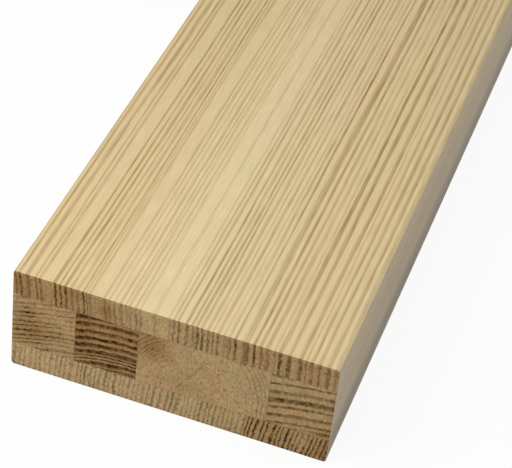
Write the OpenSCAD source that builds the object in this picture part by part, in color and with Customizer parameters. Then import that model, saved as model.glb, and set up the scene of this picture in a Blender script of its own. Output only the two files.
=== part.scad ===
// Three-layer glued timber plank: two quarter-sawn face lamellas over a core of
// edge-glued strips. Millimetres, +Z up, +Y along the grain.
// The origin is the middle of the underside.

/* [Plank] */
// Length of the plank, along the grain
plank_length = 1000; // [600:100:3000]
// Width of the plank, across its faces
plank_width = 145; // [115:1:245]
// Radius of the eased arris on each of the four long edges
arris_radius = 1.5; // [0.5:0.1:3]

/* [Layers] */
// Thickness of the face lamella on top
top_lamella_thickness = 12.5; // [8:0.5:24]
// Thickness of the core layer
core_thickness = 28.5; // [18:0.5:44]
// Thickness of the face lamella underneath
bottom_lamella_thickness = 13; // [8:0.5:24]

/* [Core strips] */
// Width of the strip along the left edge
left_edge_strip_width = 29; // [18:0.5:32]
// Width of the strip beside the left edge strip
left_inner_strip_width = 28.5; // [18:0.5:32]
// Width of the strip along the right edge
right_edge_strip_width = 28.5; // [18:0.5:32]

/* [Hidden] */

// Heights of the two glue planes, from the underside
core_bottom = bottom_lamella_thickness;
core_top = core_bottom + core_thickness;

// Glue joints of the core, from the left edge of the plank to the right
left_side = -plank_width / 2;
left_joint = left_side + left_edge_strip_width;
middle_joint = left_joint + left_inner_strip_width;
right_side = plank_width / 2;
right_joint = right_side - right_edge_strip_width;

// Sides of a full circle where an arris is rounded
arris_facets = 48;

// What the planer takes off a square corner at the origin, for a corner that
// points towards +X and +Y
module arris_waste() {
    translate([-arris_radius, -arris_radius]) difference() {
        square(2 * arris_radius);
        circle(arris_radius, $fn = arris_facets);
    }
}

// Section of a face lamella that lies on y = 0, with its two outer corners eased
module lamella_section(thickness) {
    difference() {
        translate([left_side, 0]) square([plank_width, thickness]);
        translate([right_side, thickness]) arris_waste();
        translate([left_side, thickness]) mirror([1, 0]) arris_waste();
    }
}

// Carries a section, drawn with its height along Y, along the grain
module along_the_grain() {
    rotate([90, 0, 0]) linear_extrude(plank_length, center = true) children();
}

// One square-edged strip of the core, between two glue joints
module core_strip(from_x, to_x) {
    translate([from_x, -plank_length / 2, core_bottom])
        cube([to_x - from_x, plank_length, core_thickness]);
}

module top_face_lamella() {
    color("#dcc594") translate([0, 0, core_top])
        along_the_grain() lamella_section(top_lamella_thickness);
}

module bottom_face_lamella() {
    color("#cfb283") translate([0, 0, core_bottom])
        along_the_grain() mirror([0, 1]) lamella_section(bottom_lamella_thickness);
}

module left_edge_strip() {
    color("#b8966a") core_strip(left_side, left_joint);
}

module left_inner_strip() {
    color("#8f6b40") core_strip(left_joint, middle_joint);
}

module centre_strip() {
    color("#c4a878") core_strip(middle_joint, right_joint);
}

module right_edge_strip() {
    color("#b49266") core_strip(right_joint, right_side);
}

top_face_lamella();
bottom_face_lamella();
left_edge_strip();
left_inner_strip();
centre_strip();
right_edge_strip();
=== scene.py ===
"""Dresses the frame of a glued timber plank: planed pine faces, sawn end grain and a white stage."""

import math
from typing import NamedTuple

import bmesh
import bpy
from bpy.props import FloatProperty, FloatVectorProperty, IntProperty, PointerProperty
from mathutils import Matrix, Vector


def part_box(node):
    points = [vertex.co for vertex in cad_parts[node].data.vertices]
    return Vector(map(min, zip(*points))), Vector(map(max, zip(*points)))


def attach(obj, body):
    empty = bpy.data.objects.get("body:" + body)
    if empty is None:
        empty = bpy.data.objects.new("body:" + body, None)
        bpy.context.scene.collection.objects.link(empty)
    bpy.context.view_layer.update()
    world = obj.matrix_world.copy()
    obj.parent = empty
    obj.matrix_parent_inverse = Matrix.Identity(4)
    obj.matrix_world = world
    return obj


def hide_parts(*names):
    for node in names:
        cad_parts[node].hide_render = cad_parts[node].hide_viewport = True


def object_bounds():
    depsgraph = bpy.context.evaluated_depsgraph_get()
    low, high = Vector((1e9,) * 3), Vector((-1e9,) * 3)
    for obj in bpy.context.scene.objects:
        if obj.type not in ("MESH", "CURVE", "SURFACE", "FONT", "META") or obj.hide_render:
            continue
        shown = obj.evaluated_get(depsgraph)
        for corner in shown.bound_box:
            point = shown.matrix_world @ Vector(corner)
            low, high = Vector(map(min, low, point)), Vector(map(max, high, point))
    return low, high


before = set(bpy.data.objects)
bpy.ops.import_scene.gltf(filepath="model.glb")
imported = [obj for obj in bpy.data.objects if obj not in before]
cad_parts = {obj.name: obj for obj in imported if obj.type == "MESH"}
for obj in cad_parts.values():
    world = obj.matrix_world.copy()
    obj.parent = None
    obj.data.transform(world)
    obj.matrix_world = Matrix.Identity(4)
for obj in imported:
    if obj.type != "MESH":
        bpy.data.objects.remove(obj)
CAD_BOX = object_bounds()

bl_info = {
    "name": "Glued timber plank",
    "version": (1, 0, 0),
    "blender": (4, 5, 0),
    "location": "View3D > Sidebar > Plank",
    "description": "Models a plank that is glued up from quarter-sawn faces and a core of strips",
    "category": "Object",
}

MM = 0.001
PER_METRE = 1000
PLANK_LOW = Vector(CAD_BOX[0])
PLANK_HIGH = Vector(CAD_BOX[1])
# Two faces that are nearer than this lie in one plane
TOUCH = 0.01 * MM

# Sizes of the wood's patterns in millimetres: across the grain, along it and across it again.
# Real fibres are 0.03 mm wide and resin canals 0.1 mm, too fine to show in the render, so both
# are drawn as coarse as they need to show.
FIBRE_MM = (0.6, 16, 0.6)
BREAK_MM = (0.8, 14, 0.8)
HUE_MM = (14, 170, 14)
PATCH_MM = (6, 200, 6)
SPECK_MM = (1, 20, 2.2)
CANAL_MM = (1.5, 20, 1.5)
CLOUD_MM = (7, 120, 7)
TEAR_MM = (2.2, 20, 1.6)
# Noise mostly stays between these two values
NOISE_LOW = 0.3
NOISE_HIGH = 0.7

# What bends the rings, and how far in millimetres: the stem's own bends, each ring's wander and
# its ragged fibres
RING_DRIFTS = (
    ((45, 400, 45), 2.4),
    ((10, 200, 10), 1.2),
    ((1.6, 110, 1.6), 1.6),
)
# How far apart narrow and wide years come, and how far they shift the rings, in millimetres
UNEVEN_MM = 5
UNEVEN_REACH = 1.6
# Between these shares of its way a spell of years looks like itself, and outside them it blends
SPELL_CORE = (0.2, 0.8)
# A year runs from 0 to 1. Its latewood starts, by chance, between BROADEST and NARROWEST times
# its band before LATE_END. It is fully dark at RIPE_FROM plus RIPE_SHARE of that start, and
# turns pale from PALING on.
BROADEST = 1.25
NARROWEST = 0.75
LATE_END = 0.95
RIPE_FROM = 0.53
RIPE_SHARE = 0.4
PALING = 0.88
# How dark the latewood is, least and most: from year to year, and along a ring
VIGOUR = (0.7, 1.2)
PATCHES = (0.65, 1.25)
# How far the check wanders in all, the share of its half length where it starts to taper, the
# noise between which it breaks up, and the share of the wood's colour that is left in it
CHECK_WANDER_MM = 2
CHECK_TAPER = 0.7
CHECK_BREAKS = (0.4, 0.55)
CHECK_SHADE = 0.65

# Planed sides: how far they turn brown, how the lines break up and how faint they are on the
# right edge, how fibres catch the light, and the pinker and the greener hue
FACE_BROWNING = 0.7
FACE_BREAKS = (0.6, 1.2)
EDGE_LINES = 0.25
FACE_FIBRES = (0.91, 1.09)
FACE_HUES = ((1.015, 0.985, 0.99, 1), (0.985, 1.01, 0.97, 1))
# Sawn ends: how tears break up the rings, how grit and clouds shade the wood, the noise that
# makes a resin canal, the share of colour left in it, and the pinker and the greener hue
END_TEARS = (1.3, 0.5)
END_GRIT = (0.74, 1.26)
END_CLOUDS = (0.91, 1.09)
CANAL_NOISE = (0.6, 0.7)
CANAL_SHADE = 0.6
END_HUES = ((1.03, 0.98, 0.98, 1), (0.96, 1.02, 0.97, 1))
# On planed wood and on sawn wood: how rough it is, how much it shines, how far glue lines show
ROUGHNESS = (0.55, 0.9)
GLOSS = (0.4, 0.1)
GLUE_SHOWS = (0.6, 0.25)
# A glue line fades out between these distances from its joint
GLUE_MM = (0.1, 0.3)
# How high fibres and specks stand, and how much of that shows
BUMP_HEIGHT = 0.05 * MM
BUMP_STRENGTH = 0.5
# How much of a surface's normal lies along the grain, or to the right, where the surface starts
# to count as a sawn end, or as the right edge that is greyed with painted shade, and where it fully does
END_TURN = (0.6, 0.8)
SHADED_EDGE_TURN = (0.6, 0.95)
WHITE = (1, 1, 1, 1)

# A face whose normal has this much along an axis looks straight along it
STRAIGHT = 0.99
# Flats that break the edge of a sawn end
SAW_EDGE_STEPS = 2
# Faces that meet at a smaller angle than this are shaded as one
SMOOTH_ANGLE = math.radians(30)
# On the map for baking: the gap between rows, the height of a glued side's row in millimetres,
# and how many times its own height a sawn end gets
MAP_GAP = 0.008
GLUED_ROW_MM = 2
END_ROOM = 2


class Spell(NamedTuple):
    """A run of like years, read from where the spell before it ends."""

    to_mm: float
    rings: float
    latewood: float
    tone: float


class Span(NamedTuple):
    """A spell of years between two distances from the pith, in millimetres."""

    near: float
    far: float
    rings: float
    latewood: float
    tone: float


class Stain(NamedTuple):
    """A patch of wood, browner or with darker rings, that runs along the grain."""

    place_mm: tuple
    radius_mm: float
    latewood: float
    tone: float


class Check(NamedTuple):
    """A fine crack through the heart of the stem, from one place in the section to another."""

    start_mm: tuple
    end_mm: tuple
    width_mm: float


class Growth(NamedTuple):
    """How a piece grew: its pith, the line that its years are read along, the years and its marks."""

    pith_mm: tuple
    read_from_mm: tuple
    read_along: tuple
    years: tuple
    band: float
    stains: tuple
    check: Check | None = None


# Places are x and z in the plank's section. A spell gives how far it reaches along the line,
# its number of rings, how dark its latewood is and how brown the wood is all through.
# Where a ring is split into 0.15 and 0.85, the first part is its wide pale earlywood.
# A band is the share of a year that is latewood.
GROWTH = {
    "top_face_lamella": Growth(
        pith_mm=(-134.5, 40),
        read_from_mm=(-72.5, 54),
        read_along=(1, 0),
        years=(
            Spell(13, 4.42, 0.6, 0.63),
            Spell(17, 0.15, 0.4, 0.6),
            Spell(19, 0.85, 0.95, 0.65),
            Spell(26.8, 3, 0.9, 0.65),
            Spell(29.4, 1, 0.3, 0.65),
            Spell(32, 1, 1.0, 0.65),
            Spell(35, 2, 0.6, 0.6),
            Spell(39.5, 0.15, 0.3, 0.5),
            Spell(42, 0.85, 0.42, 0.5),
            Spell(57.5, 7, 0.42, 0.35),
            Spell(61.5, 0.15, 0.3, 0.2),
            Spell(64, 0.85, 0.3, 0.2),
            Spell(68, 0.15, 0.3, 0.2),
            Spell(70, 0.85, 0.3, 0.2),
            Spell(81, 4, 0.65, 0.3),
            Spell(95.2, 6, 0.55, 0.35),
            Spell(97.6, 1, 0.35, 0.35),
            Spell(100, 1, 1.1, 0.4),
            Spell(104.8, 1, 0.75, 0.45),
            Spell(108.7, 1, 0.8, 0.45),
            Spell(114.2, 2, 0.6, 0.45),
            Spell(116.9, 1, 0.2, 0.45),
            Spell(119.6, 1, 1.0, 0.45),
            Spell(124.2, 1, 0.7, 0.5),
            Spell(129.1, 1, 0.6, 0.5),
            Spell(133.6, 2, 0.55, 0.5),
            Spell(137.2, 1, 0.9, 0.5),
            Spell(140.8, 1, 0.55, 0.5),
            Spell(145, 1.2, 0.5, 0.3),
        ),
        band=0.6,
        stains=(Stain((-72.5, 46), 10, 0.2, 0.2), Stain((-30, 46), 9, 0, 0.35)),
    ),
    "bottom_face_lamella": Growth(
        pith_mm=(170, -10),
        read_from_mm=(72.5, 7),
        read_along=(-1, 0),
        years=(
            Spell(1.5, 0.75, 1.0, 0.85),
            Spell(6, 2.25, 1.0, 0.65),
            Spell(14, 4, 1.0, 0.45),
            Spell(25, 5, 1.05, 0.45),
            Spell(38, 6, 1.0, 0.5),
            Spell(51, 6, 0.45, 0.15),
            Spell(57, 3, 0.7, 0.1),
            Spell(67, 5, 0.35, 0.05),
            Spell(83, 6, 0.6, 0.1),
            Spell(94, 5, 0.35, 0.0),
            Spell(114, 9, 0.6, 0.05),
            Spell(145, 13, 0.4, 0.0),
        ),
        band=0.54,
        stains=(Stain((74, 3), 8, 0.2, 0),),
    ),
    "left_edge_strip": Growth(
        pith_mm=(-21, -120),
        read_from_mm=(-58, 13),
        read_along=(0, 1),
        years=(
            Spell(2.5, 1, 0.5, 0.35),
            Spell(9, 2.5, 0.5, 0.4),
            Spell(17, 3, 0.5, 0.35),
            Spell(22, 2, 0.4, 0.3),
            Spell(28, 2.2, 0.45, 0.35),
        ),
        band=0.55,
        stains=(Stain((-64, 25), 16, 0.45, 0.45), Stain((-64.5, 32), 5, 1, 0.05)),
    ),
    "left_inner_strip": Growth(
        pith_mm=(-18.5, -55),
        read_from_mm=(-29, 13),
        read_along=(0, 1),
        years=(
            Spell(2, 1, 1.0, 0.7),
            Spell(12, 4, 1.0, 0.7),
            Spell(28, 4, 1.1, 0.75),
        ),
        band=0.8,
        stains=(Stain((-42, 28), 10, 0.25, 0.25),),
    ),
    "centre_strip": Growth(
        pith_mm=(6.5, 20),
        read_from_mm=(6.5, 20),
        read_along=(1, 0),
        years=(
            Spell(6, 1, 0.02, 0.35),
            Spell(14, 3, 0.03, 0.32),
            Spell(22, 5, 0.04, 0.26),
            Spell(30, 5, 0.06, 0.18),
            Spell(38, 4, 0.3, 0.22),
        ),
        band=0.5,
        stains=(Stain((-10, 36), 15, 0.6, 0.6),),
        check=Check((2.5, 14), (15, 34), 0.8),
    ),
    "right_edge_strip": Growth(
        pith_mm=(91.5, -150),
        read_from_mm=(57.7, 13),
        read_along=(0, 1),
        years=(
            Spell(5, 1.4, 0.55, 0.35),
            Spell(23, 4, 0.7, 0.35),
            Spell(28, 1.1, 0.75, 0.3),
        ),
        band=0.6,
        # This stain makes the strip browner, with darker rings, towards the bottom of its right side
        stains=(Stain((72, 13), 10, 0.3, 0.3),),
    ),
}


def linear(code):
    """Turns a colour from an sRGB hex value into linear light."""
    channels = []
    for place in (1, 3, 5):
        value = int(code[place:place + 2], 16) / 255
        channels.append(value / 12.92 if value <= 0.04045 else ((value + 0.055) / 1.055) ** 2.4)
    return channels


def colour_property(name, description, code):
    """Makes a colour property whose default is an sRGB hex value."""
    return FloatVectorProperty(
        name=name,
        description=description,
        default=linear(code),
        size=3,
        min=0,
        max=1,
        subtype="COLOR",
    )


class PlankSizes(bpy.types.PropertyGroup):
    """Sizes of the plank's edges and of the relief on its ends."""

    arris: FloatProperty(
        name="Arris",
        description="Radius of the eased long edges",
        default=1.5 * MM,
        unit="LENGTH",
    )
    arris_steps: IntProperty(
        name="Arris steps",
        description="Flats that round off a long edge",
        default=5,
    )
    saw_edge: FloatProperty(
        name="Sawn edge",
        description="Width of the worn edge round a sawn end",
        default=0.25 * MM,
        unit="LENGTH",
    )
    relief: FloatProperty(
        name="End relief",
        description="How far the soft earlywood lies below the hard latewood on a sawn end",
        default=0.15 * MM,
        unit="LENGTH",
    )
    relief_grid: FloatProperty(
        name="Relief grid",
        description="Spacing of the mesh that holds the relief of the ends",
        default=0.35 * MM,
        unit="LENGTH",
    )


class PlankColours(bpy.types.PropertyGroup):
    """Colours of the pine, on its planed sides and on its sawn ends."""

    earlywood: colour_property("Earlywood", "Pale wood of spring on a planed face", "#EED9AC")
    brown: colour_property("Brown wood", "Pale wood on a planed face where it is browner", "#DCBD84")
    latewood: colour_property("Latewood", "Dark wood of summer on a planed face", "#A5834A")
    # The right edge's colours are greyed as painted shade, for the side that faces away from the lamp
    shaded_edge_pale: colour_property("Edge", "Planed wood on the right edge", "#F6DFB9")
    shaded_edge_brown: colour_property(
        "Brown edge", "Planed wood on the right edge where it is browner", "#AAA08F"
    )
    end_earlywood: colour_property("End earlywood", "Pale wood on a sawn end", "#D1B385")
    end_brown: colour_property("End brown", "Pale wood on a sawn end where it is browner", "#A47844")
    end_latewood: colour_property("End latewood", "Dark wood on a sawn end", "#4A2A08")
    glue: colour_property("Glue line", "Thin dark line between two glued pieces", "#7A6040")


class PlankStage(bpy.types.PropertyGroup):
    """The camera, the lamp and the floor."""

    camera_place: FloatVectorProperty(
        name="Camera place",
        description="Where the camera stands",
        default=(0.18681, -1.10746, 0.64352),
        subtype="TRANSLATION",
        unit="LENGTH",
    )
    camera_turn: FloatVectorProperty(
        name="Camera turn",
        description="How the camera is turned",
        default=[math.radians(angle) for angle in (49.511, -5.441, 19.108)],
        subtype="EULER",
        unit="ROTATION",
    )
    lens: FloatProperty(
        name="Lens",
        description="Focal length in millimetres, on a picture 36 mm wide",
        default=147.2,
    )
    floor_width: FloatProperty(
        name="Floor width",
        description="Side of the square floor",
        default=12,
        unit="LENGTH",
    )
    floor_bounce: colour_property("Floor bounce", "Grey that the floor lights the plank with", "#C0C0C0")
    floor_glow: FloatProperty(
        name="Floor glow",
        description="How much of the floor's white stays where the plank shades it",
        default=0.92,
        subtype="FACTOR",
    )
    key_place: FloatVectorProperty(
        name="Key lamp place",
        description="Where the big soft lamp hangs",
        default=(-0.4, -0.8, 0.72),
        subtype="TRANSLATION",
        unit="LENGTH",
    )
    key_aim: FloatVectorProperty(
        name="Key lamp aim",
        description="Where the big soft lamp points",
        default=(0, -0.35, 0),
        subtype="TRANSLATION",
        unit="LENGTH",
    )
    key_width: FloatProperty(
        name="Key lamp width",
        description="Width of the big soft lamp",
        default=0.6,
        unit="LENGTH",
    )
    key_power: FloatProperty(
        name="Key lamp power",
        description="Power of the big soft lamp",
        default=4.4,
        unit="POWER",
    )
    sky: FloatProperty(
        name="Sky",
        description="Brightness of the white room around the plank",
        default=0.45,
    )


def add_node(tree, kind, inputs=None, **settings):
    """Adds a node, sets its settings, and links or sets its inputs by name or by number."""
    node = tree.nodes.new(kind)
    for name, value in settings.items():
        setattr(node, name, value)
    for key, value in (inputs or {}).items():
        named = [socket for socket in node.inputs if socket.enabled and socket.name == key]
        socket = named[0] if named else node.inputs[key]
        if isinstance(value, bpy.types.Node):
            tree.links.new([output for output in value.outputs if output.enabled][0], socket)
        elif isinstance(value, bpy.types.NodeSocket):
            tree.links.new(value, socket)
        else:
            socket.default_value = value
    return node


def draw_curve(node, points, handle):
    """Gives a curve node its points, from left to right."""
    curve = node.mapping.curves[0]
    curve.points[0].location = points[0]
    curve.points[1].location = points[-1]
    for place in points[1:-1]:
        curve.points.new(*place)
    for point in curve.points:
        point.handle_type = handle
    node.mapping.update()


def growth_spans(growth, low, high):
    """Gives each spell as two distances from the pith, with the outer ones drawn out over the piece."""
    corners = [(x * PER_METRE, z * PER_METRE) for x in (low.x, high.x) for z in (low.z, high.z)]
    reached = [math.dist(growth.pith_mm, corner) for corner in corners]
    marks = []
    for to_mm in (0, *(spell.to_mm for spell in growth.years)):
        place = [start + along * to_mm for start, along in zip(growth.read_from_mm, growth.read_along)]
        marks.append(math.dist(growth.pith_mm, place))
    spans = []
    for spell, near, far in zip(growth.years, marks, marks[1:]):
        spans.append(Span(near, far, spell.rings, spell.latewood, spell.tone))
    first = spans[0]
    nearest = min(reached + [first.near])
    drawn_out = (first.far - nearest) / (first.far - first.near)
    spans[0] = first._replace(near=nearest, rings=first.rings * drawn_out)
    last = spans[-1]
    farthest = max(reached + [last.far])
    drawn_out = (farthest - last.near) / (last.far - last.near)
    spans[-1] = last._replace(far=farthest, rings=last.rings * drawn_out)
    return spans


def bent_distance(tree, place_mm, section, pith_mm):
    """Adds nodes that give how far a place is from the pith, as the rings bend."""
    pith = (pith_mm[0], 0, pith_mm[1])
    radius = add_node(tree, "ShaderNodeVectorMath", {0: section, 1: pith}, operation="DISTANCE")
    uneven_at = add_node(tree, "ShaderNodeMath", {0: radius, 1: UNEVEN_MM}, operation="DIVIDE")
    uneven = add_node(
        tree, "ShaderNodeTexNoise", {"W": uneven_at, "Scale": 1, "Detail": 0}, noise_dimensions="1D"
    )
    middle = (UNEVEN_REACH + sum(reach for _, reach in RING_DRIFTS)) / 2
    bent = add_node(tree, "ShaderNodeMath", {0: radius, 1: middle}, operation="SUBTRACT")
    bent = add_node(
        tree, "ShaderNodeMath", {0: uneven, 1: UNEVEN_REACH, 2: bent}, operation="MULTIPLY_ADD"
    )
    for size_mm, reach_mm in RING_DRIFTS:
        scaled = add_node(tree, "ShaderNodeVectorMath", {0: place_mm, 1: size_mm}, operation="DIVIDE")
        drift = add_node(tree, "ShaderNodeTexNoise", {"Vector": scaled, "Scale": 1, "Detail": 3})
        bent = add_node(
            tree, "ShaderNodeMath", {0: drift, 1: reach_mm, 2: bent}, operation="MULTIPLY_ADD"
        )
    return bent


def latewood_of_year(tree, year, band):
    """Adds nodes that give how far the latewood has formed, from 0 to 1, and the year's vigour.

    Within a year the wood darkens, stays dark for a while and turns pale again faster.
    """
    number = add_node(tree, "ShaderNodeMath", {0: year}, operation="FLOOR")
    season = add_node(tree, "ShaderNodeMath", {0: year}, operation="FRACT")
    chance = add_node(tree, "ShaderNodeTexWhiteNoise", {"W": number}, noise_dimensions="1D")
    chances = add_node(tree, "ShaderNodeSeparateXYZ", {0: chance.outputs["Color"]})
    onset = add_node(
        tree,
        "ShaderNodeMapRange",
        {
            "Value": chances.outputs["X"],
            "To Min": LATE_END - BROADEST * band,
            "To Max": LATE_END - NARROWEST * band,
        },
    )
    ripe = add_node(
        tree, "ShaderNodeMath", {0: onset, 1: RIPE_SHARE, 2: RIPE_FROM}, operation="MULTIPLY_ADD"
    )
    ripening = add_node(
        tree,
        "ShaderNodeMapRange",
        {"Value": season, "From Min": onset, "From Max": ripe},
        interpolation_type="SMOOTHSTEP",
    )
    pale_again = add_node(
        tree,
        "ShaderNodeMapRange",
        {"Value": season, "From Min": PALING, "From Max": 1, "To Min": 1, "To Max": 0},
        interpolation_type="SMOOTHSTEP",
    )
    late = add_node(tree, "ShaderNodeMath", {0: ripening, 1: pale_again}, operation="MULTIPLY")
    vigour = add_node(
        tree,
        "ShaderNodeMapRange",
        {"Value": chances.outputs["Y"], "To Min": VIGOUR[0], "To Max": VIGOUR[1]},
    )
    return late, vigour


def growth_rings(tree, place_mm, growth, low, high):
    """Adds nodes that read the growth rings at a place, in a material or in geometry nodes.

    Gives how dark the latewood is there, 0 in earlywood, and how brown the wood is.
    """
    spans = growth_spans(growth, low, high)
    nearest, farthest = spans[0].near, spans[-1].far
    all_rings = sum(span.rings for span in spans)
    section = add_node(tree, "ShaderNodeVectorMath", {0: place_mm, 1: (1, 0, 1)}, operation="MULTIPLY")
    bent = bent_distance(tree, place_mm, section, growth.pith_mm)
    reach = add_node(
        tree, "ShaderNodeMapRange", {"Value": bent, "From Min": nearest, "From Max": farthest}
    )

    # One curve counts the years, and two hold how each spell of years looks
    counted = 0
    counts = [(0, 0)]
    dark_marks = []
    tone_marks = []
    for span in spans:
        counted += span.rings
        start, end = ((mark - nearest) / (farthest - nearest) for mark in (span.near, span.far))
        counts.append((end, counted / all_rings))
        for share in SPELL_CORE:
            mark = start + share * (end - start)
            dark_marks.append((mark, span.latewood))
            tone_marks.append((mark, span.tone))
    count = add_node(tree, "ShaderNodeFloatCurve", {"Value": reach})
    draw_curve(count, counts, "VECTOR")
    darkness = add_node(tree, "ShaderNodeFloatCurve", {"Value": reach})
    draw_curve(darkness, dark_marks, "AUTO_CLAMPED")
    tone = add_node(tree, "ShaderNodeFloatCurve", {"Value": reach})
    draw_curve(tone, tone_marks, "AUTO_CLAMPED")

    # A stain browns the wood and darkens its rings round one place in the section
    for stain in growth.stains:
        stain_place = (stain.place_mm[0], 0, stain.place_mm[1])
        away = add_node(tree, "ShaderNodeVectorMath", {0: section, 1: stain_place}, operation="DISTANCE")
        stained = add_node(
            tree,
            "ShaderNodeMapRange",
            {"Value": away, "From Min": stain.radius_mm, "From Max": 0},
            interpolation_type="SMOOTHSTEP",
        )
        darkness = add_node(
            tree, "ShaderNodeMath", {0: stained, 1: stain.latewood, 2: darkness}, operation="MULTIPLY_ADD"
        )
        tone = add_node(
            tree,
            "ShaderNodeMath",
            {0: stained, 1: stain.tone, 2: tone},
            operation="MULTIPLY_ADD",
            use_clamp=True,
        )

    # Some years are darker than others, and a ring fades in and out along its way
    year = add_node(tree, "ShaderNodeMath", {0: count, 1: all_rings}, operation="MULTIPLY")
    late, vigour = latewood_of_year(tree, year, growth.band)
    patch_place = add_node(tree, "ShaderNodeVectorMath", {0: place_mm, 1: PATCH_MM}, operation="DIVIDE")
    patches = add_node(tree, "ShaderNodeTexNoise", {"Vector": patch_place, "Scale": 1, "Detail": 2})
    patchy = add_node(
        tree,
        "ShaderNodeMapRange",
        {
            "Value": patches,
            "From Min": NOISE_LOW,
            "From Max": NOISE_HIGH,
            "To Min": PATCHES[0],
            "To Max": PATCHES[1],
        },
    )
    dark = add_node(tree, "ShaderNodeMath", {0: darkness, 1: vigour}, operation="MULTIPLY")
    dark = add_node(tree, "ShaderNodeMath", {0: dark, 1: patchy}, operation="MULTIPLY")
    line = add_node(tree, "ShaderNodeMath", {0: late, 1: dark}, operation="MULTIPLY", use_clamp=True)
    return line, tone


def sawn_specks(tree, place_mm):
    """Adds the fine specks of a sawn end, for its colour, its bump and its pits."""
    scaled = add_node(tree, "ShaderNodeVectorMath", {0: place_mm, 1: SPECK_MM}, operation="DIVIDE")
    return add_node(
        tree, "ShaderNodeTexNoise", {"Vector": scaled, "Scale": 1, "Detail": 3, "Roughness": 0.65}
    )


def heart_check(tree, place_mm, check):
    """Adds nodes that give 1 in the middle of the heart check and 0 off it."""
    start = Vector((check.start_mm[0], 0, check.start_mm[1]))
    end = Vector((check.end_mm[0], 0, check.end_mm[1]))
    along = (end - start).normalized()
    across = along.cross(Vector((0, 1, 0)))
    scaled = add_node(tree, "ShaderNodeVectorMath", {0: place_mm, 1: TEAR_MM}, operation="DIVIDE")
    ragged = add_node(tree, "ShaderNodeTexNoise", {"Vector": scaled, "Scale": 1, "Detail": 2})
    offset = add_node(tree, "ShaderNodeVectorMath", {0: place_mm, 1: start}, operation="SUBTRACT")

    # It is darkest along its middle, which wanders to both sides
    aside = add_node(tree, "ShaderNodeVectorMath", {0: offset, 1: across}, operation="DOT_PRODUCT")
    aside = add_node(
        tree, "ShaderNodeMath", {0: ragged, 1: CHECK_WANDER_MM, 2: aside}, operation="MULTIPLY_ADD"
    )
    aside = add_node(tree, "ShaderNodeMath", {0: aside, 1: CHECK_WANDER_MM / 2}, operation="SUBTRACT")
    apart = add_node(tree, "ShaderNodeMath", {0: aside}, operation="ABSOLUTE")
    width = add_node(
        tree,
        "ShaderNodeMapRange",
        {"Value": apart, "From Min": 0, "From Max": check.width_mm, "To Min": 1, "To Max": 0},
    )

    # It tapers to both ends, and breaks up on its way
    way = add_node(tree, "ShaderNodeVectorMath", {0: offset, 1: along}, operation="DOT_PRODUCT")
    halfway = (end - start).length / 2
    from_middle = add_node(tree, "ShaderNodeMath", {0: way, 1: halfway}, operation="SUBTRACT")
    from_middle = add_node(tree, "ShaderNodeMath", {0: from_middle}, operation="ABSOLUTE")
    length = add_node(
        tree,
        "ShaderNodeMapRange",
        {
            "Value": from_middle,
            "From Min": CHECK_TAPER * halfway,
            "From Max": halfway,
            "To Min": 1,
            "To Max": 0,
        },
    )
    opened = add_node(tree, "ShaderNodeMath", {0: width, 1: length}, operation="MULTIPLY")
    broken = add_node(
        tree,
        "ShaderNodeMapRange",
        {"Value": ragged.outputs["Color"], "From Min": CHECK_BREAKS[0], "From Max": CHECK_BREAKS[1]},
    )
    return add_node(tree, "ShaderNodeMath", {0: opened, 1: broken}, operation="MULTIPLY")


def glued_sides(low, high):
    """Gives the sides of a piece that others are glued to: the axis, the way out and the place."""
    sides = []
    for axis in range(3):
        if low[axis] - PLANK_LOW[axis] > TOUCH:
            sides.append((axis, -1, low[axis]))
        if PLANK_HIGH[axis] - high[axis] > TOUCH:
            sides.append((axis, 1, high[axis]))
    return sides


def planed_pine(tree, place, line, tone, hue, at_shaded_edge, fibres, colours):
    """Adds the colour of planed pine: cream with fine tan lines, and greyer on the right edge as painted
    shade.
    """
    browner = add_node(tree, "ShaderNodeMath", {0: tone, 1: FACE_BROWNING}, operation="MULTIPLY")
    face = add_node(
        tree,
        "ShaderNodeMix",
        {"Factor": browner, "A": (*colours.earlywood, 1), "B": (*colours.brown, 1)},
        data_type="RGBA",
    )
    # The right edge takes greyer colours: painted shade of the side away from the lamp
    edge = add_node(
        tree,
        "ShaderNodeMix",
        {"Factor": tone, "A": (*colours.shaded_edge_pale, 1), "B": (*colours.shaded_edge_brown, 1)},
        data_type="RGBA",
    )
    pale = add_node(tree, "ShaderNodeMix", {"Factor": at_shaded_edge, "A": face, "B": edge}, data_type="RGBA")

    # The lines are fine and broken, and fade on the right edge
    break_place = add_node(tree, "ShaderNodeVectorMath", {0: place, 1: BREAK_MM}, operation="DIVIDE")
    breaks = add_node(tree, "ShaderNodeTexNoise", {"Vector": break_place, "Scale": 1, "Detail": 2})
    broken = add_node(
        tree,
        "ShaderNodeMapRange",
        {
            "Value": breaks,
            "From Min": NOISE_LOW,
            "From Max": NOISE_HIGH,
            "To Min": FACE_BREAKS[0],
            "To Max": FACE_BREAKS[1],
        },
    )
    faded = add_node(
        tree, "ShaderNodeMapRange", {"Value": at_shaded_edge, "To Min": broken, "To Max": EDGE_LINES}
    )
    drawn = add_node(tree, "ShaderNodeMath", {0: line, 1: faded}, operation="MULTIPLY", use_clamp=True)
    planed = add_node(
        tree, "ShaderNodeMix", {"Factor": drawn, "A": pale, "B": (*colours.latewood, 1)}, data_type="RGBA"
    )

    # Fibres catch the light
    streak = add_node(
        tree,
        "ShaderNodeMapRange",
        {
            "Value": fibres,
            "From Min": NOISE_LOW,
            "From Max": NOISE_HIGH,
            "To Min": FACE_FIBRES[0],
            "To Max": FACE_FIBRES[1],
        },
    )
    planed = add_node(tree, "ShaderNodeVectorMath", {0: planed, "Scale": streak}, operation="SCALE")
    tint = add_node(
        tree, "ShaderNodeMix", {"Factor": hue, "A": FACE_HUES[0], "B": FACE_HUES[1]}, data_type="RGBA"
    )
    return add_node(tree, "ShaderNodeVectorMath", {0: planed, 1: tint}, operation="MULTIPLY")


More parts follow.
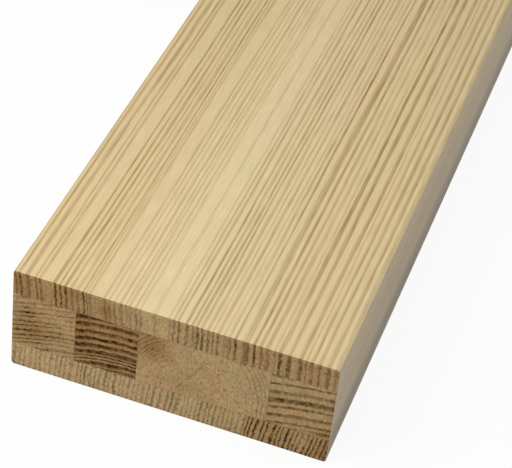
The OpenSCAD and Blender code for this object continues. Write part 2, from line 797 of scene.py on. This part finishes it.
def sawn_pine(tree, place, line, tone, hue, specks, colours):
    """Adds the colour of pine sawn across the grain: brown, with dark broken rings and torn specks."""
    pale = add_node(
        tree,
        "ShaderNodeMix",
        {"Factor": tone, "A": (*colours.end_earlywood, 1), "B": (*colours.end_brown, 1)},
        data_type="RGBA",
    )
    tear_place = add_node(tree, "ShaderNodeVectorMath", {0: place, 1: TEAR_MM}, operation="DIVIDE")
    tears = add_node(tree, "ShaderNodeTexNoise", {"Vector": tear_place, "Scale": 1, "Detail": 3})
    torn = add_node(
        tree,
        "ShaderNodeMapRange",
        {
            "Value": tears,
            "From Min": NOISE_LOW,
            "From Max": NOISE_HIGH,
            "To Min": END_TEARS[0],
            "To Max": END_TEARS[1],
        },
    )
    drawn = add_node(tree, "ShaderNodeMath", {0: line, 1: torn}, operation="MULTIPLY", use_clamp=True)
    sawn = add_node(
        tree,
        "ShaderNodeMix",
        {"Factor": drawn, "A": pale, "B": (*colours.end_latewood, 1)},
        data_type="RGBA",
    )

    # Grit and broad clouds of paler and darker wood
    grit = add_node(
        tree,
        "ShaderNodeMapRange",
        {
            "Value": specks,
            "From Min": NOISE_LOW,
            "From Max": NOISE_HIGH,
            "To Min": END_GRIT[0],
            "To Max": END_GRIT[1],
        },
    )
    cloud_place = add_node(tree, "ShaderNodeVectorMath", {0: place, 1: CLOUD_MM}, operation="DIVIDE")
    clouds = add_node(tree, "ShaderNodeTexNoise", {"Vector": cloud_place, "Scale": 1, "Detail": 2})
    cloudy = add_node(
        tree,
        "ShaderNodeMapRange",
        {
            "Value": clouds,
            "From Min": NOISE_LOW,
            "From Max": NOISE_HIGH,
            "To Min": END_CLOUDS[0],
            "To Max": END_CLOUDS[1],
        },
    )
    shaded = add_node(tree, "ShaderNodeMath", {0: grit, 1: cloudy}, operation="MULTIPLY")

    # Resin canals are dark dots
    canal_place = add_node(tree, "ShaderNodeVectorMath", {0: place, 1: CANAL_MM}, operation="DIVIDE")
    canals = add_node(tree, "ShaderNodeTexNoise", {"Vector": canal_place, "Scale": 1, "Detail": 1})
    dots = add_node(
        tree,
        "ShaderNodeMapRange",
        {
            "Value": canals,
            "From Min": CANAL_NOISE[0],
            "From Max": CANAL_NOISE[1],
            "To Min": 1,
            "To Max": CANAL_SHADE,
        },
    )
    dotted = add_node(tree, "ShaderNodeMath", {0: shaded, 1: dots}, operation="MULTIPLY")
    sawn = add_node(tree, "ShaderNodeVectorMath", {0: sawn, "Scale": dotted}, operation="SCALE")
    tint = add_node(
        tree, "ShaderNodeMix", {"Factor": hue, "A": END_HUES[0], "B": END_HUES[1]}, data_type="RGBA"
    )
    return add_node(tree, "ShaderNodeVectorMath", {0: sawn, 1: tint}, operation="MULTIPLY")


def pine(name, growth, low, high, colours):
    """Scots pine, planed along the grain and sawn across it, with no finish.

    The planed faces are cream with fine tan lines, matt with a faint silky gloss. The sawn
    ends drink the light: they are browner and rough, with strong dark rings and torn specks.
    """
    material = bpy.data.materials.new(name)
    material.use_nodes = True
    tree = material.node_tree
    tree.nodes.clear()
    coordinates = add_node(tree, "ShaderNodeTexCoord")
    place = add_node(
        tree,
        "ShaderNodeVectorMath",
        {0: coordinates.outputs["Object"], "Scale": PER_METRE},
        operation="SCALE",
    )
    line, tone = growth_rings(tree, place, growth, low, high)

    # Which way the surface looks: a sawn end, the right edge, greyed as painted shade, or any other
    # planed side
    looks = add_node(tree, "ShaderNodeSeparateXYZ", {0: coordinates.outputs["Normal"]})
    across = add_node(tree, "ShaderNodeMath", {0: looks.outputs["Y"]}, operation="ABSOLUTE")
    at_end = add_node(
        tree, "ShaderNodeMapRange", {"Value": across, "From Min": END_TURN[0], "From Max": END_TURN[1]}
    )
    at_shaded_edge = add_node(
        tree,
        "ShaderNodeMapRange",
        {"Value": looks.outputs["X"], "From Min": SHADED_EDGE_TURN[0], "From Max": SHADED_EDGE_TURN[1]},
    )

    # The wood drifts between a pinker and a greener hue
    hue_place = add_node(tree, "ShaderNodeVectorMath", {0: place, 1: HUE_MM}, operation="DIVIDE")
    hues = add_node(tree, "ShaderNodeTexNoise", {"Vector": hue_place, "Scale": 1, "Detail": 2})
    hue = add_node(
        tree, "ShaderNodeMapRange", {"Value": hues, "From Min": NOISE_LOW, "From Max": NOISE_HIGH}
    )

    fibre_place = add_node(tree, "ShaderNodeVectorMath", {0: place, 1: FIBRE_MM}, operation="DIVIDE")
    fibres = add_node(tree, "ShaderNodeTexNoise", {"Vector": fibre_place, "Scale": 1, "Detail": 3})
    specks = sawn_specks(tree, place)
    planed = planed_pine(tree, place, line, tone, hue, at_shaded_edge, fibres, colours)
    sawn = sawn_pine(tree, place, line, tone, hue, specks, colours)
    if growth.check:
        cracked = heart_check(tree, place, growth.check)
        # The check is darkened along its crack: painted shade in it
        shade = add_node(
            tree, "ShaderNodeMapRange", {"Value": cracked, "To Min": 1, "To Max": CHECK_SHADE}
        )
        sawn = add_node(tree, "ShaderNodeVectorMath", {0: sawn, "Scale": shade}, operation="SCALE")
    colour = add_node(tree, "ShaderNodeMix", {"Factor": at_end, "A": planed, "B": sawn}, data_type="RGBA")

    # Glue lines run along the joints, and show less on the sawn ends
    section = add_node(tree, "ShaderNodeSeparateXYZ", {0: place})
    strength = add_node(
        tree, "ShaderNodeMapRange", {"Value": at_end, "To Min": GLUE_SHOWS[0], "To Max": GLUE_SHOWS[1]}
    )
    for axis, _, joint in glued_sides(low, high):
        gap = add_node(
            tree, "ShaderNodeMath", {0: section.outputs[axis], 1: joint * PER_METRE}, operation="SUBTRACT"
        )
        depth = add_node(tree, "ShaderNodeMath", {0: gap}, operation="ABSOLUTE")
        glue_line = add_node(
            tree,
            "ShaderNodeMapRange",
            {
                "Value": depth,
                "From Min": GLUE_MM[0],
                "From Max": GLUE_MM[1],
                "To Min": strength,
                "To Max": 0,
            },
        )
        colour = add_node(
            tree,
            "ShaderNodeMix",
            {"Factor": glue_line, "A": colour, "B": (*colours.glue, 1)},
            data_type="RGBA",
        )

    roughness = add_node(
        tree, "ShaderNodeMapRange", {"Value": at_end, "To Min": ROUGHNESS[0], "To Max": ROUGHNESS[1]}
    )
    gloss = add_node(
        tree, "ShaderNodeMapRange", {"Value": at_end, "To Min": GLOSS[0], "To Max": GLOSS[1]}
    )
    height = add_node(
        tree, "ShaderNodeMix", {"Factor": at_end, "A": fibres, "B": specks}, data_type="FLOAT"
    )
    bump = add_node(
        tree, "ShaderNodeBump", {"Height": height, "Strength": BUMP_STRENGTH, "Distance": BUMP_HEIGHT}
    )
    shader = add_node(
        tree,
        "ShaderNodeBsdfPrincipled",
        {"Base Color": colour, "Roughness": roughness, "Normal": bump, "Specular IOR Level": gloss},
    )
    add_node(tree, "ShaderNodeOutputMaterial", {"Surface": shader})
    return material


def add_block(name, low, high):
    """Adds a block between two corners, with its place in its mesh."""
    bpy.ops.object.select_all(action="DESELECT")
    bpy.ops.mesh.primitive_cube_add(size=1, calc_uvs=False, location=(low + high) / 2, scale=high - low)
    block = bpy.context.object
    block.name = name
    block.data.name = name
    bpy.ops.object.transform_apply(location=True, rotation=True, scale=True)
    return block


def select(block, kind, wanted):
    """Selects the faces or edges of a block that pass a test, in edit mode."""
    bpy.ops.object.mode_set(mode="EDIT")
    bpy.ops.mesh.select_mode(type="EDGE" if kind == "edges" else "FACE")
    bpy.ops.mesh.select_all(action="DESELECT")
    mesh = bmesh.from_edit_mesh(block.data)
    for item in getattr(mesh, kind):
        if wanted(item):
            item.select_set(True)
    mesh.select_flush_mode()
    bmesh.update_edit_mesh(block.data)


def cut(place, normal):
    """Cuts the faces of the block in hand along a plane."""
    bpy.ops.object.mode_set(mode="EDIT")
    bpy.ops.mesh.select_all(action="SELECT")
    bpy.ops.mesh.bisect(plane_co=place, plane_no=normal)


def is_end(face):
    """Tells whether a face is a sawn end, across the grain."""
    return abs(face.normal.y) > STRAIGHT


def ease_edges(block, low, high, sizes):
    """Rounds the long edges that are bare on two sides, and breaks the bare edges of the sawn ends."""
    glued = [(axis, way) for axis, way, _ in glued_sides(low, high)]

    def is_bare(face):
        return not any(face.normal[axis] * way > STRAIGHT for axis, way in glued)

    def is_arris(edge):
        runs_along = not any(is_end(face) for face in edge.link_faces)
        return runs_along and all(is_bare(face) for face in edge.link_faces)

    def is_saw_edge(edge):
        ends = [face for face in edge.link_faces if is_end(face)]
        return len(ends) == 1 and all(is_bare(face) for face in edge.link_faces)

    select(block, "edges", is_arris)
    bpy.ops.mesh.bevel(offset=sizes.arris, segments=sizes.arris_steps, affect="EDGES")
    select(block, "edges", is_saw_edge)
    bpy.ops.mesh.bevel(offset=sizes.saw_edge, segments=SAW_EDGE_STEPS, affect="EDGES")
    bpy.ops.object.mode_set(mode="OBJECT")


def grid_ends(block, low, high, sizes):
    """Cuts the sawn ends into a fine grid, clear of the rounded edges."""
    glued = [(axis, way) for axis, way, _ in glued_sides(low, high)]
    margin = sizes.arris + 2 * sizes.saw_edge
    inner_low = Vector(low)
    inner_high = Vector(high)
    for axis in (0, 2):
        normal = Vector((axis == 0, 0, axis == 2))
        if (axis, -1) not in glued:
            inner_low[axis] += margin
            cut(inner_low, normal)
        if (axis, 1) not in glued:
            inner_high[axis] -= margin
            cut(inner_high, normal)
    size = inner_high - inner_low
    columns = max(1, round(size.x / size.z))
    for column in range(1, columns):
        cut(inner_low + Vector((size.x * column / columns, 0, 0)), Vector((1, 0, 0)))

    def is_cell(face):
        middle = face.calc_center_median()
        within = all(inner_low[axis] < middle[axis] < inner_high[axis] for axis in (0, 2))
        return is_end(face) and within

    select(block, "faces", is_cell)
    bpy.ops.mesh.subdivide(number_cuts=round(size.z / sizes.relief_grid), ngon=True)
    bpy.ops.object.mode_set(mode="OBJECT")


def tear_ends(block, growth, low, high, sizes):
    """Sinks the earlywood of the sawn ends below the latewood, as a saw tears it."""
    tree = bpy.data.node_groups.new(block.name + "_relief", "GeometryNodeTree")
    tree.interface.new_socket("Geometry", in_out="INPUT", socket_type="NodeSocketGeometry")
    tree.interface.new_socket("Geometry", in_out="OUTPUT", socket_type="NodeSocketGeometry")
    source = add_node(tree, "NodeGroupInput")
    position = add_node(tree, "GeometryNodeInputPosition")
    place = add_node(tree, "ShaderNodeVectorMath", {0: position, "Scale": PER_METRE}, operation="SCALE")
    hard, _ = growth_rings(tree, place, growth, low, high)
    soft = add_node(tree, "ShaderNodeMath", {0: 1, 1: hard}, operation="SUBTRACT")
    specks = sawn_specks(tree, place)
    pits = add_node(
        tree,
        "ShaderNodeMapRange",
        {"Value": specks, "From Min": NOISE_LOW, "From Max": NOISE_HIGH, "To Min": 1, "To Max": 0},
    )
    depth = add_node(tree, "ShaderNodeMath", {0: soft, 1: pits}, operation="MULTIPLY")
    if growth.check:
        cracked = heart_check(tree, place, growth.check)
        depth = add_node(tree, "ShaderNodeMath", {0: depth, 1: cracked}, operation="ADD")
    sunk = add_node(tree, "ShaderNodeMath", {0: depth, 1: -sizes.relief}, operation="MULTIPLY")
    normal = add_node(tree, "GeometryNodeInputNormal")
    looks = add_node(tree, "ShaderNodeSeparateXYZ", {0: normal})
    across = add_node(tree, "ShaderNodeMath", {0: looks.outputs["Y"]}, operation="ABSOLUTE")
    at_end = add_node(tree, "ShaderNodeMath", {0: across, 1: STRAIGHT}, operation="GREATER_THAN")
    offset = add_node(tree, "ShaderNodeVectorMath", {0: normal, "Scale": sunk}, operation="SCALE")
    moved = add_node(
        tree, "GeometryNodeSetPosition", {"Geometry": source, "Selection": at_end, "Offset": offset}
    )
    add_node(tree, "NodeGroupOutput", {0: moved})
    modifier = block.modifiers.new("End relief", "NODES")
    modifier.node_group = tree
    bpy.ops.object.modifier_apply(modifier=modifier.name)
    bpy.data.node_groups.remove(tree)


def lay_out_map(block, low, high):
    """Lays the sides out in rows on the map that the finish is baked through.

    A row runs along its side's longer way. Bare sides get room by their width, sawn ends get
    more, since their rings are fine, and glued sides get next to none.
    """
    size = high - low
    glued = [(axis, way) for axis, way, _ in glued_sides(low, high)]
    # For each axis that a side may look along: the axis along its row and the axis across it
    ways = {0: (1, 2), 1: (0, 2), 2: (1, 0)}
    heights = {}
    for axis, (_, across) in ways.items():
        for way in (-1, 1):
            if (axis, way) in glued:
                heights[axis, way] = GLUED_ROW_MM
            elif axis == 1:
                heights[axis, way] = END_ROOM * size[across] * PER_METRE
            else:
                heights[axis, way] = size[across] * PER_METRE
    scale = (1 - MAP_GAP * (len(heights) + 1)) / sum(heights.values())
    rows = {}
    start = MAP_GAP
    for side, height in heights.items():
        rows[side] = (start, height * scale)
        start += height * scale + MAP_GAP

    mesh = bmesh.new()
    mesh.from_mesh(block.data)
    layer = mesh.loops.layers.uv.new("OFBake")
    for face in mesh.faces:
        axis = max(range(3), key=lambda number: abs(face.normal[number]))
        along, across = ways[axis]
        start, height = rows[axis, 1 if face.normal[axis] > 0 else -1]
        for corner in face.loops:
            place = corner.vert.co - low
            row_share = place[along] / size[along]
            height_share = place[across] / size[across]
            corner[layer].uv = (MAP_GAP + row_share * (1 - 2 * MAP_GAP), start + height_share * height)
    mesh.to_mesh(block.data)
    mesh.free()


def make_piece(name, node, context):
    """Makes one board or strip of the plank in place of its plain solid."""
    sizes = context.scene.plank_sizes
    low, high = (Vector(corner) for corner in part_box(node))
    growth = GROWTH[node]
    piece = add_block(name, low, high)
    ease_edges(piece, low, high, sizes)
    grid_ends(piece, low, high, sizes)
    tear_ends(piece, growth, low, high, sizes)
    bpy.ops.object.shade_smooth_by_angle(angle=SMOOTH_ANGLE)
    lay_out_map(piece, low, high)
    piece.data.materials.append(pine(name + "_pine", growth, low, high, context.scene.plank_colours))
    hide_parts(node)
    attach(piece, "root")


class PLANK_OT_face_boards(bpy.types.Operator):
    """Makes the two quarter-sawn boards of the plank's faces"""

    bl_idname = "plank.face_boards"
    bl_label = "Face boards"

    def execute(self, context):
        make_piece("top_face_board", "top_face_lamella", context)
        make_piece("bottom_face_board", "bottom_face_lamella", context)
        return {"FINISHED"}


class PLANK_OT_core_battens(bpy.types.Operator):
    """Makes the edge-glued battens of the plank's core"""

    bl_idname = "plank.core_battens"
    bl_label = "Core battens"

    def execute(self, context):
        make_piece("left_edge_batten", "left_edge_strip", context)
        make_piece("left_inner_batten", "left_inner_strip", context)
        make_piece("centre_batten", "centre_strip", context)
        make_piece("right_edge_batten", "right_edge_strip", context)
        return {"FINISHED"}


def white_floor(glow_share, bounce):
    """Matt white board, lit to white for the eye, that throws back only part of the light."""
    material = bpy.data.materials.new("matt_white_board")
    material.use_nodes = True
    tree = material.node_tree
    tree.nodes.clear()
    path = add_node(tree, "ShaderNodeLightPath")
    seen = add_node(
        tree,
        "ShaderNodeMath",
        {0: path.outputs["Is Camera Ray"], 1: path.outputs["Is Glossy Ray"]},
        operation="MAXIMUM",
    )
    seen = add_node(
        tree, "ShaderNodeMath", {0: seen, 1: path.outputs["Is Transmission Ray"]}, operation="MAXIMUM"
    )
    shade = add_node(
        tree, "ShaderNodeMix", {"Factor": seen, "A": (*bounce, 1), "B": WHITE}, data_type="RGBA"
    )
    board = add_node(tree, "ShaderNodeBsdfDiffuse", {"Color": shade})
    glow = add_node(tree, "ShaderNodeEmission", {"Color": WHITE, "Strength": 1})
    share = add_node(tree, "ShaderNodeMath", {0: seen, 1: glow_share}, operation="MULTIPLY")
    surface = add_node(tree, "ShaderNodeMixShader", {0: share, 1: board, 2: glow})
    add_node(tree, "ShaderNodeOutputMaterial", {"Surface": surface})
    return material


class PLANK_OT_stage(bpy.types.Operator):
    """Sets up the floor, the lamp and the camera"""

    bl_idname = "plank.stage"
    bl_label = "Stage"

    def execute(self, context):
        stage = context.scene.plank_stage
        bpy.ops.object.select_all(action="DESELECT")
        bpy.ops.mesh.primitive_plane_add(size=stage.floor_width, location=(0, 0, PLANK_LOW.z - TOUCH))
        floor = context.object
        floor.name = "floor"
        floor.data.materials.append(white_floor(stage.floor_glow, stage.floor_bounce))

        world = bpy.data.worlds.new("white_room")
        world.use_nodes = True
        tree = world.node_tree
        tree.nodes.clear()
        path = add_node(tree, "ShaderNodeLightPath")
        light = add_node(
            tree,
            "ShaderNodeMapRange",
            {"Value": path.outputs["Is Camera Ray"], "To Min": stage.sky, "To Max": 1},
        )
        room = add_node(tree, "ShaderNodeBackground", {"Color": WHITE, "Strength": light})
        add_node(tree, "ShaderNodeOutputWorld", {"Surface": room})
        context.scene.world = world

        bpy.ops.object.light_add(type="AREA", location=stage.key_place)
        key = context.object
        key.name = "key_lamp"
        key.data.shape = "DISK"
        key.data.size = stage.key_width
        key.data.energy = stage.key_power
        aim = Vector(stage.key_aim) - Vector(stage.key_place)
        key.rotation_euler = aim.to_track_quat("-Z", "Y").to_euler()

        bpy.ops.object.camera_add(location=stage.camera_place, rotation=stage.camera_turn)
        camera = context.object
        camera.name = "camera"
        camera.data.lens = stage.lens
        context.scene.camera = camera
        context.scene.view_settings.view_transform = "Standard"
        return {"FINISHED"}


class PLANK_PT_sidebar(bpy.types.Panel):
    """Lists the plank's sizes, colours and steps"""

    bl_idname = "PLANK_PT_sidebar"
    bl_label = "Glued timber plank"
    bl_space_type = "VIEW_3D"
    bl_region_type = "UI"
    bl_category = "Plank"

    def draw(self, context):
        scene = context.scene
        for group in (scene.plank_sizes, scene.plank_colours, scene.plank_stage):
            box = self.layout.box()
            for name in type(group).__annotations__:
                box.prop(group, name)
        for step in STEPS:
            self.layout.operator(step.bl_idname)


STEPS = (PLANK_OT_face_boards, PLANK_OT_core_battens, PLANK_OT_stage)
CLASSES = (PlankSizes, PlankColours, PlankStage, *STEPS, PLANK_PT_sidebar)


def register():
    """Adds the plank's classes and its settings to the scene."""
    for kind in CLASSES:
        bpy.utils.register_class(kind)
    bpy.types.Scene.plank_sizes = PointerProperty(type=PlankSizes)
    bpy.types.Scene.plank_colours = PointerProperty(type=PlankColours)
    bpy.types.Scene.plank_stage = PointerProperty(type=PlankStage)


def unregister():
    """Takes the plank's settings and classes away again."""
    del bpy.types.Scene.plank_stage
    del bpy.types.Scene.plank_colours
    del bpy.types.Scene.plank_sizes
    for kind in reversed(CLASSES):
        bpy.utils.unregister_class(kind)


def main():
    """Builds the plank and its stage."""
    register()
    bpy.ops.plank.face_boards()
    bpy.ops.plank.core_battens()
    bpy.ops.plank.stage()


if __name__ == "__main__":
    main()
